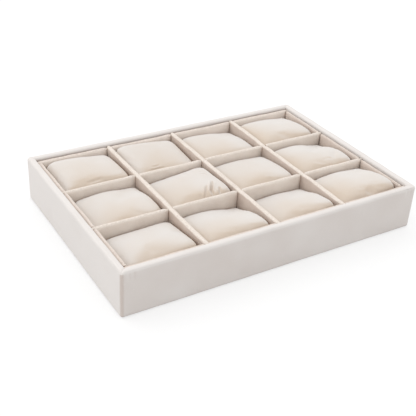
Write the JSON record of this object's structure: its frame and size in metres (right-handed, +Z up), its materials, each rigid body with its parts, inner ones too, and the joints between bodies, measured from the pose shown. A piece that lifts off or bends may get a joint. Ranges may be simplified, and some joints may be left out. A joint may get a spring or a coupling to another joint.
{
  "type": "watch display tray",
  "caption": "Shallow velvet-wrapped rectangular tray, its lined inside crossed by upright dividers into cells, each filled by a soft pillow to hold a watch.",
  "frame": {"origin": "centre of the underside, on the surface the tray stands on", "axes": "+X along the tray's long side to the right, +Y to the back, +Z up"},
  "size_m": [0.35, 0.238, 0.051],
  "materials": {
    "outer_velvet": "short matt velvet, pale warm grey",
    "lining_velvet": "short matt velvet, beige",
    "pillow_velvet": "soft velvet with a light sheen, cream",
    "fibreboard": "raw pressed fibre",
    "base_paper": "matt backing cloth"
  },
  "bodies": {
    "root": {"base_cover": "base_paper", "base_board": "fibreboard", "front_board": "fibreboard", "back_board": "fibreboard", "left_board": "fibreboard", "right_board": "fibreboard", "outer_wrap": "outer_velvet", "floor_lining": "lining_velvet", "front_liner_1": "lining_velvet", "front_liner_2": "lining_velvet", "front_liner_3": "lining_velvet", "front_liner_4": "lining_velvet", "back_liner_1": "lining_velvet", "back_liner_2": "lining_velvet", "back_liner_3": "lining_velvet", "back_liner_4": "lining_velvet", "left_liner_1": "lining_velvet", "left_liner_2": "lining_velvet", "left_liner_3": "lining_velvet", "right_liner_1": "lining_velvet", "right_liner_2": "lining_velvet", "right_liner_3": "lining_velvet", "cross_divider_1": "lining_velvet", "cross_divider_2": "lining_velvet", "cross_divider_3": "lining_velvet", "long_divider_1": "lining_velvet", "long_divider_2": "lining_velvet", "pillow_front_1": "pillow_velvet", "pillow_front_2": "pillow_velvet", "pillow_front_3": "pillow_velvet", "pillow_front_4": "pillow_velvet", "pillow_middle_1": "pillow_velvet", "pillow_middle_2": "pillow_velvet", "pillow_middle_3": "pillow_velvet", "pillow_middle_4": "pillow_velvet", "pillow_back_1": "pillow_velvet", "pillow_back_2": "pillow_velvet", "pillow_back_3": "pillow_velvet", "pillow_back_4": "pillow_velvet"}
  },
  "joints": []
}
